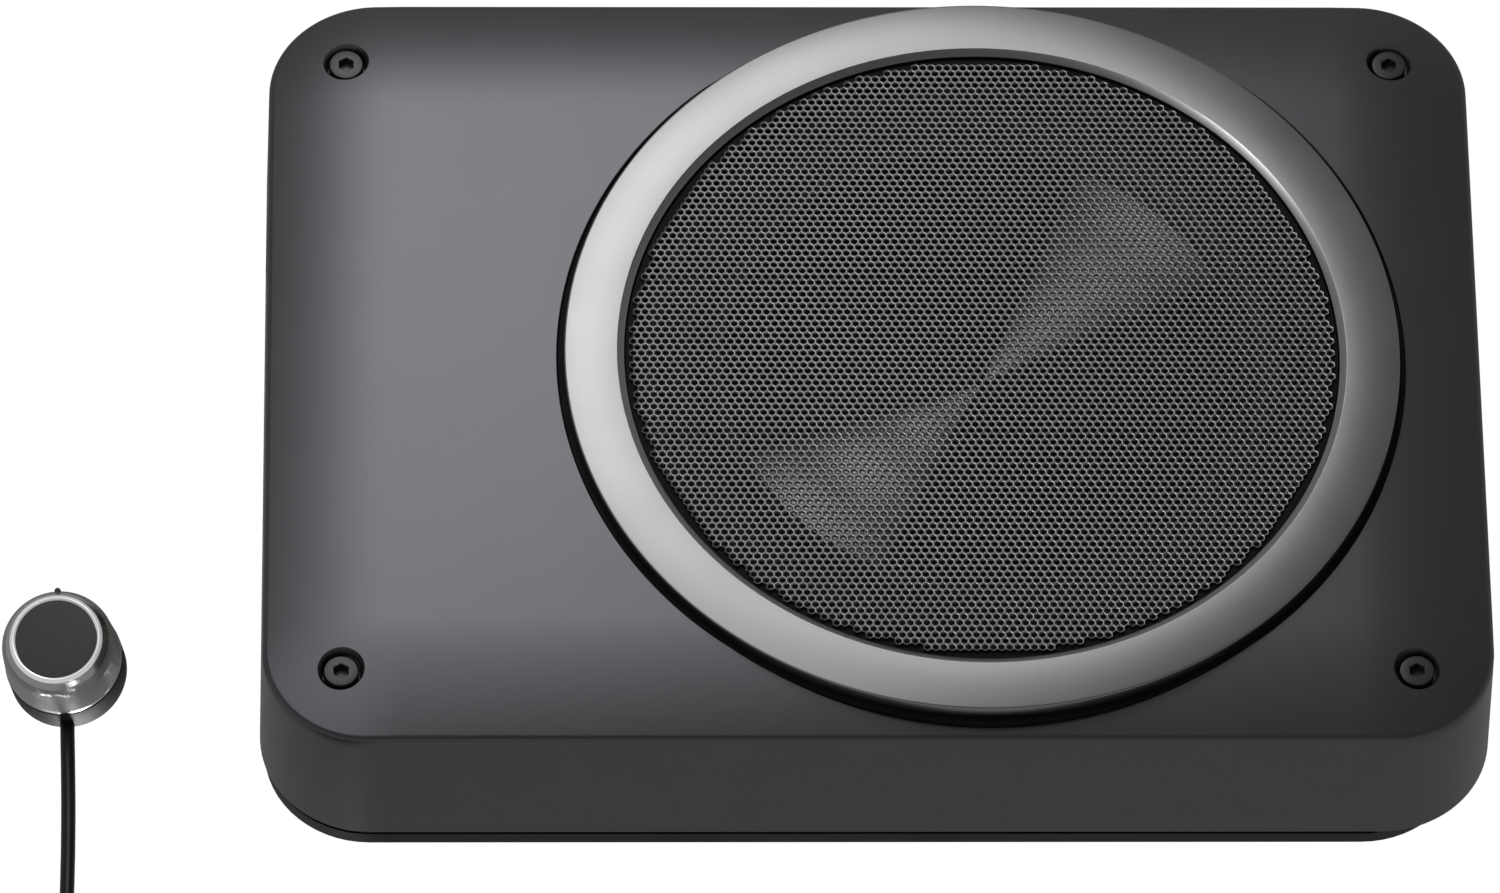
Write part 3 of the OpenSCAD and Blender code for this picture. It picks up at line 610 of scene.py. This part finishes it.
RECESS_R = 5.55
RECESS_RIM = 6.55
BOSS_R = 8.0
SHANK_R = 2.6
DECK_T = 4.0
DECK_R = SEAT_R + 3.6
WELL_FOOT = 30
WELL_R = SEAT_R + 0.1
WELL_RIM = SEAT_R + 0.4
BAY_ROOF = 50.5
PAST_LEFT = -200
PAST_TOP = 70
FAR_PAST_TOP = 80
FLARE_FOOT = -3
FLARE_TOP = 1.5


def kept_inside():
    """What stays solid inside the casing: the woofer's deck, the bay's walls and the screw bosses"""
    foot = DECK_Z - DECK_T
    deck = [(0, foot), (DECK_R, foot), (DECK_R, FAR_PAST_TOP), (0, FAR_PAST_TOP)]
    side = BAY_HALF + BAY_WALL
    boss = [(0, 0), (BOSS_R, 0), (BOSS_R, FAR_PAST_TOP), (0, FAR_PAST_TOP)]
    parts = [lathe_data(deck, AXIS), box_data((PAST_LEFT, BAY_X), (-side, side), (0, BAY_ROOF))]
    return parts + [lathe_data(boss, place, 48) for place in SCREW_PLACES]


def openings():
    """The ring's well with the woofer's hole, the screw holes with their recesses, and the terminal bay"""
    well = [(0, WELL_FOOT), (DECK_HOLE_R, WELL_FOOT), (DECK_HOLE_R, DECK_Z), (WELL_R, DECK_Z),
            (WELL_R, CROWN_Z - 0.3), (WELL_RIM, CROWN_Z), (WELL_RIM, PAST_TOP), (0, PAST_TOP)]
    seat = head_high[2] - HEAD_T
    shank = [(0, 0), (SHANK_R, 0), (SHANK_R, seat), (RECESS_R, seat), (RECESS_R, PAST_TOP), (0, PAST_TOP)]
    parts = [lathe_data(well, AXIS, 256)] + [lathe_data(shank, place, 64) for place in SCREW_PLACES]
    return parts + [box_data((PAST_LEFT, BAY_X + 1), (-BAY_HALF, BAY_HALF), BAY_Z)]


def flares():
    """The recesses' slanting rims, each square to the casing's top where it is"""
    profile = [(0, FLARE_FOOT), (RECESS_R - 0.3, FLARE_FOOT), (RECESS_RIM, -0.25), (RECESS_RIM + 0.25, 0),
               (RECESS_RIM + 1.75, FLARE_TOP), (0, FLARE_TOP)]
    parts = []
    for x, y in SCREW_PLACES:
        up = Vector(crown_normal(np.array(x), np.array(y)))
        tilt = np.array(Vector((0, 0, 1)).rotation_difference(up).to_matrix())
        points, faces = lathe_data(profile, (0, 0), 64)
        parts.append((points @ tilt.T + np.array((x, y, crown(x, y))), faces))
    return parts


def make_casing():
    cover = mesh_object("casing_shell", *solid_of_rings(casing_rings()), "casing_paint")
    inside = mesh_object("inside", *solid_of_rings(inner_rings()), "casing_paint")
    carve(inside, mesh_object("kept", *joined(*kept_inside()), "casing_paint"))
    carve(cover, inside)
    carve(cover, mesh_object("well", *joined(*openings()), "casing_paint"))
    carve(cover, mesh_object("flares", *joined(*flares()), "casing_paint"))
    shade(cover.data, 28)
    smooth_skin(cover.data)
    return settle(cover, "enclosure", "casing_paint", "top_cover")


make_casing()


# ---------------------------------------------------------------- trim ring and its seat
GRILLE_R = grille_high[0] - AXIS[0]
RING_BORE = GRILLE_R + 1.1
RING_FLAT_R = 103.5
RING_BEVEL = 1.2
SEAT_BORE = 105.0
LEDGE_W = 3
LEDGE_T = 1.6


def make_ring():
    section = [(RING_BORE, RING_FOOT), (RING_R, RING_FOOT), (RING_R, RING_TOP), (RING_FLAT_R, RING_TOP),
               (RING_BORE, RING_TOP - RING_BEVEL)]
    shape = softened(section, [0.15, 0.3, 0.55, 0.25, 0.2])
    ring = lathe("trim_ring_turned", shape, "ring_aluminium", AXIS, 360)
    settle(ring, "enclosure", "ring_aluminium", "trim_ring")


def make_ring_seat():
    """The seat below the ring, with a ledge that carries the grille"""
    lip = RING_BORE - 0.3
    ledge = lip - LEDGE_W
    under = RING_FOOT - LEDGE_T
    section = [(SEAT_BORE, DECK_Z), (SEAT_R, DECK_Z), (SEAT_R, RING_FOOT), (lip, RING_FOOT),
               (lip, grille_low[2]), (ledge, grille_low[2]), (ledge, under), (SEAT_BORE, under)]
    shape = softened(section, [0, 0, 0.3, 0.1, 0.1, 0.3, 0.1, 0.1])
    seat = lathe("ring_seat_turned", shape, "seat_black", AXIS, 256)
    settle(seat, "enclosure", "seat_black", "ring_seat")


make_ring()
make_ring_seat()


# ---------------------------------------------------------------- grille
HOLE_PITCH = 2.3
HOLE_R = 0.8
HOLE_SIDES = 12
GRILLE_ROWS = 3
DOME = 0.1
GRILLE_EDGE = 1.0


def grille_cells():
    """Centres of the holes of a triangular grid that fits in the grille's disc"""
    reach = GRILLE_R - GRILLE_EDGE
    row_pitch = HOLE_PITCH * math.sqrt(3) / 2
    rows = int(reach / row_pitch) + 1
    columns = int(reach / HOLE_PITCH) + 1
    made = []
    for j in range(-rows, rows + 1):
        shift = 0.5 * (j % 2)
        for i in range(-columns, columns + 1):
            x, y = (i + shift) * HOLE_PITCH, j * row_pitch
            if math.hypot(x, y) <= reach:
                made.append((x, y))
    return np.array(made)


def perforated(name, centres):
    """A sheet of six-sided cells with a round hole in each, its top a little domed between the holes"""
    count = len(centres)
    corner_angle = np.radians(30 + 60 * np.arange(6))
    hole_angle = np.arange(HOLE_SIDES) * TURN / HOLE_SIDES
    corner = np.stack([np.cos(corner_angle), np.sin(corner_angle)], 1) * HOLE_PITCH / math.sqrt(3)
    rim = np.stack([np.cos(hole_angle), np.sin(hole_angle)], 1) * HOLE_R
    corners = (centres[:, None, :] + corner[None]).reshape(-1, 2)
    shared, index = np.unique(np.round(corners, 3), axis=0, return_inverse=True)
    index = index.reshape(count, 6)
    rims = (centres[:, None, :] + rim[None]).reshape(-1, 2)
    top, low = grille_high[2], grille_low[2]
    layers = [(shared, top), (shared, low), (rims, top - DOME), (rims, low)]
    points = np.concatenate([np.column_stack([plan, np.full(len(plan), z)]) for plan, z in layers])
    points[:, 0] += AXIS[0]
    points[:, 1] += AXIS[1]
    edge = len(shared)
    ring = 2 * edge + np.arange(count)[:, None] * HOLE_SIDES
    under = ring + count * HOLE_SIDES
    above, below, inner = [], [], []
    for k in range(6):
        a, b = index[:, k], index[:, (k + 1) % 6]
        first = 1 + 2 * k
        h = [ring[:, 0] + (first + step) % HOLE_SIDES for step in (2, 1, 0)]
        u = [under[:, 0] + (first + step) % HOLE_SIDES for step in (0, 1, 2)]
        above.append(np.stack([a, b, *h], 1))
        below.append(np.stack([b + edge, a + edge, *u], 1))
    for k in range(HOLE_SIDES):
        n = (k + 1) % HOLE_SIDES
        inner.append(np.stack([ring[:, 0] + k, ring[:, 0] + n, under[:, 0] + n, under[:, 0] + k], 1))
    sides = np.stack([index, np.roll(index, -1, 1)], 2).reshape(-1, 2)
    ordered = np.sort(sides, 1)
    _, where, uses = np.unique(ordered, axis=0, return_index=True, return_counts=True)
    rim_sides = sides[where[uses == 1]]
    outer = np.stack([rim_sides[:, 1], rim_sides[:, 0], rim_sides[:, 0] + edge, rim_sides[:, 1] + edge], 1)
    groups = [np.concatenate(above), np.concatenate(below), np.concatenate(inner), outer]
    return mesh_object(name, points, groups, "grille_steel", 88)


def make_grille():
    """The grille in bands, so that no piece is too large"""
    cells = grille_cells()
    order = np.argsort(cells[:, 1], kind="stable")
    marks = [cells[order[int(len(order) * k / GRILLE_ROWS)], 1] for k in range(1, GRILLE_ROWS)]
    band = np.searchsorted(np.array(marks), cells[:, 1] + 0.01)
    for k in range(GRILLE_ROWS):
        sheet = perforated(f"grille_sheet_{k + 1}", cells[band == k])
        settle(sheet, "enclosure", "grille_steel", "grille_mesh")


make_grille()


# ---------------------------------------------------------------- corner screws
THREAD_R = 2.4
HEX_FLATS = 4.0
HEX_DEPTH = 2.6
HEX_TURN = math.radians(30)


def make_screw():
    """One cap screw on the row's own axis, with its hexagon socket cut"""
    top, seat, tip = head_high[2], head_high[2] - HEAD_T, head_low[2]
    section = softened([(0, top), (HEAD_R, top), (HEAD_R, seat), (THREAD_R, seat), (THREAD_R, tip), (0, tip)],
                       [0, 0.45, 0.2, 0, 0.3, 0], closed=False)
    screw = lathe("corner_screw_1", section, "screw_black", (0, 0), 72)
    corner = HEX_FLATS / math.cos(HEX_TURN) / 2
    socket = [(0, top - HEX_DEPTH), (corner, top - HEX_DEPTH), (corner, top - 0.2), (corner + 0.4, top + 0.2),
              (0, top + 0.2)]
    hexagon = lathe("hexagon", socket, "screw_black", (0, 0), 6)
    hexagon.data.transform(Matrix.Rotation(HEX_TURN, 4, "Z"))
    carve(screw, hexagon)
    shade(screw.data, 30)
    return screw


def make_screws():
    first = make_screw()
    for k, (x, y) in enumerate(SCREW_PLACES):
        screw = first if k == 0 else new_object(f"corner_screw_{k + 1}", first.data)
        screw.location = (x * MM, y * MM, 0)
        settle(screw, "enclosure", "screw_black", "corner_screws")


make_screws()


# ---------------------------------------------------------------- diaphragm and surround
CONE_T = 1.2
CONE_RIM_W = 4
CONE_RINGS = 20


def make_diaphragm():
    """A straight cone with a flat rim, in enough rings that the rim doesn't bend its shading"""
    low, high = box_mm("cone")
    rim = high[0] - AXIS[0]
    apex = low[2] + CONE_T
    slope = rim - CONE_RIM_W
    under = high[2] - CONE_T
    upper = [(r, apex + (high[2] - apex) * (r / slope)) for r in np.linspace(0, slope, CONE_RINGS)]
    section = upper + [(rim, high[2]), (rim, under), (slope, under), (0, low[2])]
    piece = lathe("diaphragm", section, "cone_paper", (0, 0), 240)
    piece.location = (AXIS[0] * MM, AXIS[1] * MM, 0)
    settle(piece, "moving_cone", "cone_paper", "cone")


make_diaphragm()
SECTORS = 16
SECTOR_STEPS = 13
ROLL_CREST = 84.5
ROLL_HALF = 7.5
ROLL_T = 1.0
# the roll's share of its CAD height, so that it stays below the grille at full travel
ROLL_SHARE = 0.62
SURROUND_BORE = 73.5
SURROUND_R = 95.5


def surround_section(foot, rise):
    """The roll between its two flat flanges, as points of radius and height"""
    top = foot + ROLL_T
    arc = np.linspace(-1, 1, 17)
    bulge = [rise * math.cos(a * math.pi / 2) ** 0.8 for a in arc]
    roll = [(ROLL_CREST + ROLL_HALF * a, top + lift) for a, lift in zip(arc, bulge)]
    under = [(ROLL_CREST + (ROLL_HALF - ROLL_T) * a, foot + lift) for a, lift in zip(arc, bulge)]
    flange = [(SURROUND_R, top), (SURROUND_R, foot)]
    return np.array([(SURROUND_BORE, top)] + roll + flange + under[::-1] + [(SURROUND_BORE, foot)])


def make_surround():
    """Wedges of the half-roll, each arching from diaphragm to basket"""
    low, high = box_mm("surround")
    section = surround_section(low[2], ROLL_SHARE * (high[2] - low[2] - ROLL_T))
    n = len(section)
    half = math.pi / SECTORS
    for k in range(SECTORS):
        middle = (k + 0.5) * TURN / SECTORS
        angle = middle + np.linspace(-half, half, SECTOR_STEPS)
        x = np.outer(np.cos(angle), section[:, 0]) + AXIS[0]
        y = np.outer(np.sin(angle), section[:, 0]) + AXIS[1]
        z = np.repeat(section[:, 1][None, :], SECTOR_STEPS, 0)
        points = np.stack([x, y, z], 2).reshape(-1, 3)
        skin = turned_faces(SECTOR_STEPS, n, False, True)
        caps = [np.arange(n)[::-1][None, :], (np.arange(n) + n * (SECTOR_STEPS - 1))[None, :]]
        wedge = mesh_object(f"surround_{k + 1:02d}", points, [skin, *caps], "surround_rubber")
        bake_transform(wedge)
        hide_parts("surround")


make_surround()


# ---------------------------------------------------------------- remote
WEDGE_R = 11.0
BAND_TOP = 10.8
KNOB_FOOT = 11.2
KNOB_SEAT = 25.9
KNURL_PATH = np.array([(16.65, 11.8), (16.0, 22.4), (15.85, 23.4), (15.3, 24.4), (14.45, 25.6)])
KNURL_COUNT = 100
KNURL_ROWS = 17
KNURL_DEPTH = 0.4
STEPS_PER_KNURL = 4
HOLLOW_R = 12
HOLLOW_FLOOR = 0.5
LIP_R = 13.2
LIP_BORE = 11.8
CAP_R = 11.6
INDEX_R = 0.9
INDEX_Z = (22.4, 24.8)
INDEX_OUT = 15.7
KNOB_HEAD = [(14.35, 25.74), (14.05, 26.15), (13.7, 26.65), (13.4, 27.05), (LIP_R, 27.25)]
KNOB_HOLLOW = [(LIP_R, KNOB_SEAT), (3, KNOB_SEAT), (3, 19.5), (12.4, 19.5), (12.4, KNOB_FOOT)]
KNOB_SKIRT = [(16.5, KNOB_FOOT), (16.64, KNOB_FOOT + 0.12), (16.7, KNOB_FOOT + 0.35)]


def make_remote_base():
    """A leaning drum on a narrower wedge that is cut off flat by the floor"""
    count = 128
    angle = np.arange(count) * TURN / count
    turn = np.array(REMOTE_TURN)

    def ring(r, height):
        return np.stack([r * np.cos(angle), r * np.sin(angle), np.full(count, height)], 1)

    def on_floor(r):
        plan = ring(r, 0)
        plan[:, 2] = -(REMOTE_AT.z + plan[:, 0] * turn[2, 0] + plan[:, 1] * turn[2, 1]) / turn[2, 2]
        return plan

    section = [(WEDGE_R, 0), (REMOTE_R, 0), (REMOTE_R, BAND_TOP), (HOLLOW_R, BAND_TOP),
               (HOLLOW_R, HOLLOW_FLOOR), (0, HOLLOW_FLOOR)]
    outer = softened(section, [0, 0.4, 0.4, 0.2, 0, 0], closed=False)
    rings = [on_floor(0), on_floor(WEDGE_R)] + [ring(r, z) for r, z in outer]
    points = to_remote(np.concatenate(rings))
    drum = mesh_object("remote_foot", points, [turned_faces(len(rings), count, False, True)], "remote_black")
    settle(drum, "enclosure", "remote_black", "remote_base")


def knurled_grip(across):
    """Rows of radius and height up the knob's grip, with crossed grooves that fade out at both ends"""
    share = np.linspace(0, 1, KNURL_ROWS * STEPS_PER_KNURL + 1)
    u = np.arange(across)[None, :] / STEPS_PER_KNURL
    v = share[:, None] * KNURL_ROWS
    a = np.abs((u + v) % 1 - 0.5) * 2
    b = np.abs((u - v) % 1 - 0.5) * 2
    ends = np.clip(np.minimum(share, 1 - share)[:, None] * KNURL_ROWS, 0, 1)
    steps = np.linalg.norm(np.diff(KNURL_PATH, axis=0), axis=1)
    along = np.concatenate([[0], np.cumsum(steps)]) / steps.sum()
    path = np.stack([np.interp(share, along, KNURL_PATH[:, k]) for k in range(2)], 1)
    slope = np.gradient(path, axis=0)
    slope /= np.linalg.norm(slope, axis=1)[:, None]
    sunk = KNURL_DEPTH * ends * (1 - np.minimum(1, 2 * np.minimum(a, b)))
    return path[:, :1] - slope[:, 1:] * sunk, path[:, 1:] + slope[:, :1] * sunk


def make_knob():
    """The grip, closed by a smooth shoulder, a hollow for the shaft and the foot of the skirt"""
    across = KNURL_COUNT * STEPS_PER_KNURL
    angle = np.arange(across) * TURN / across
    radius, height = knurled_grip(across)
    rest = np.array(KNOB_HEAD + KNOB_HOLLOW + KNOB_SKIRT)
    radius = np.concatenate([radius, np.repeat(rest[:, :1], across, 1)])
    height = np.concatenate([height, np.repeat(rest[:, 1:], across, 1)])
    points = np.stack([radius * np.cos(angle), radius * np.sin(angle), height], 2).reshape(-1, 3)
    skin = turned_faces(len(radius), across, True, True)
    knob = mesh_object("remote_knob_knurled", to_remote(points), [skin], "knob_aluminium", 30)
    settle(knob, "remote_knob", "knob_aluminium", "remote_knob")


def turned_on_remote(name, section, slot, centre, count):
    points, groups = lathe_data(section, centre, count)
    return mesh_object(name, to_remote(points), groups, slot)


def make_knob_trim():
    """The polished lip, the dark cap inside it and the index at the knob's edge"""
    lip = softened([(LIP_BORE, KNOB_SEAT), (LIP_R, KNOB_SEAT), (LIP_R, 27.3), (12.3, REMOTE_H),
                    (LIP_BORE, REMOTE_H - 0.1)], [0, 0, 0.12, 0.25, 0.1])
    ring = turned_on_remote("knob_lip_ring", lip, "knob_polished", (0, 0), 192)
    settle(ring, "remote_knob", "knob_polished", "knob_ring")
    cap_top = REMOTE_H - 0.2
    section = softened([(0, KNOB_SEAT), (CAP_R, KNOB_SEAT), (CAP_R, cap_top), (0, cap_top)],
                       [0, 0, 0.3, 0], closed=False)
    cap = turned_on_remote("knob_cap_disc", section, "cap_black", (0, 0), 128)
    settle(cap, "remote_knob", "cap_black", "knob_cap")
    foot, top = INDEX_Z
    dome = softened([(0, foot), (INDEX_R, foot), (INDEX_R, top), (0, top)], [0, 0, 0.6, 0], closed=False)
    index = turned_on_remote("knob_index", dome, "cap_black", (0, INDEX_OUT), 24)
    settle(index, "remote_knob", "cap_black")


make_remote_base()
make_knob()
make_knob_trim()


# ---------------------------------------------------------------- floor and light
WHITE = (1, 1, 1, 1)
FLOOR_REACH = 6.0
FLOOR_DROP = 0.0002
FLOOR_GLOW = 1.02


def emitter(name, strength):
    material = bpy.data.materials.new(name)
    material.use_nodes = True
    tree = material.node_tree
    tree.nodes.clear()
    out = tree.nodes.new("ShaderNodeOutputMaterial")
    glow = tree.nodes.new("ShaderNodeEmission")
    glow.inputs["Color"].default_value = WHITE
    glow.inputs["Strength"].default_value = strength
    tree.links.new(glow.outputs[0], out.inputs["Surface"])
    return material


def make_floor():
    """A white floor that only the camera sees, so that it lights nothing and shows in no reflection"""
    mesh = bpy.data.meshes.new("floor")
    corners = [(x * FLOOR_REACH, y * FLOOR_REACH, 0) for x, y in ((-1, -1), (1, -1), (1, 1), (-1, 1))]
    mesh.from_pydata(corners, [], [(0, 1, 2, 3)])
    mesh.materials.append(emitter("floor_white", FLOOR_GLOW))
    floor = new_object("floor", mesh)
    floor.location.z = -FLOOR_DROP
    floor.visible_glossy = False
    floor.visible_diffuse = False
    floor.visible_shadow = False


def aim_light(light, place, aim):
    holder = new_object(light.name, light)
    holder.location = place
    holder.rotation_mode = "QUATERNION"
    holder.rotation_quaternion = (Vector(aim) - Vector(place)).to_track_quat("-Z", "Y")


def area_light(name, place, aim, width, height, power):
    light = bpy.data.lights.new(name, "AREA")
    light.shape = "RECTANGLE"
    light.size = width
    light.size_y = height
    light.energy = power
    aim_light(light, place, aim)


def spot_light(name, place, aim, power, angle, radius):
    light = bpy.data.lights.new(name, "SPOT")
    light.energy = power
    light.spot_size = math.radians(angle)
    light.spot_blend = 0.4
    light.shadow_soft_size = radius
    aim_light(light, place, aim)


LOW_SKY = 0.26
HIGH_SKY = 0.11
SKY_FROM = 0.2
SKY_TO = 0.82


def make_world():
    """Even light that gets darker from low in the sky to straight above"""
    world = bpy.data.worlds.new("studio")
    bpy.context.scene.world = world
    world.use_nodes = True
    tree = world.node_tree
    where = tree.nodes.new("ShaderNodeTexCoord")
    parts = tree.nodes.new("ShaderNodeSeparateXYZ")
    tree.links.new(where.outputs["Generated"], parts.inputs[0])
    level = tree.nodes.new("ShaderNodeMapRange")
    level.interpolation_type = "SMOOTHSTEP"
    level.inputs["From Min"].default_value = SKY_FROM
    level.inputs["From Max"].default_value = SKY_TO
    level.inputs["To Min"].default_value = LOW_SKY
    level.inputs["To Max"].default_value = HIGH_SKY
    tree.links.new(parts.outputs["Z"], level.inputs["Value"])
    tree.links.new(level.outputs["Result"], tree.nodes["Background"].inputs["Strength"])
    tree.nodes["Background"].inputs["Color"].default_value = WHITE


make_floor()
make_world()
area_light("key", (-0.11, 0.56, 0.81), (-0.06, 0.05, 0.05), 0.36, 0.32, 0.95)
area_light("fill", (-0.32, 0.2, 0.95), (-0.06, 0, 0.05), 0.7, 0.5, 1.0)
spot_light("side", (-0.50, 0.08, 1.05), (0.068, 0, 0.04), 8, 11, 0.03)
spot_light("low", (-0.199, -0.157, -0.24), (-0.229, -0.088, 0.018), 5.0, 22, 0.05)
spot_light("front", (-0.15, -0.316, -0.012), (-0.229, -0.088, 0.022), 1.5, 16, 0.05)
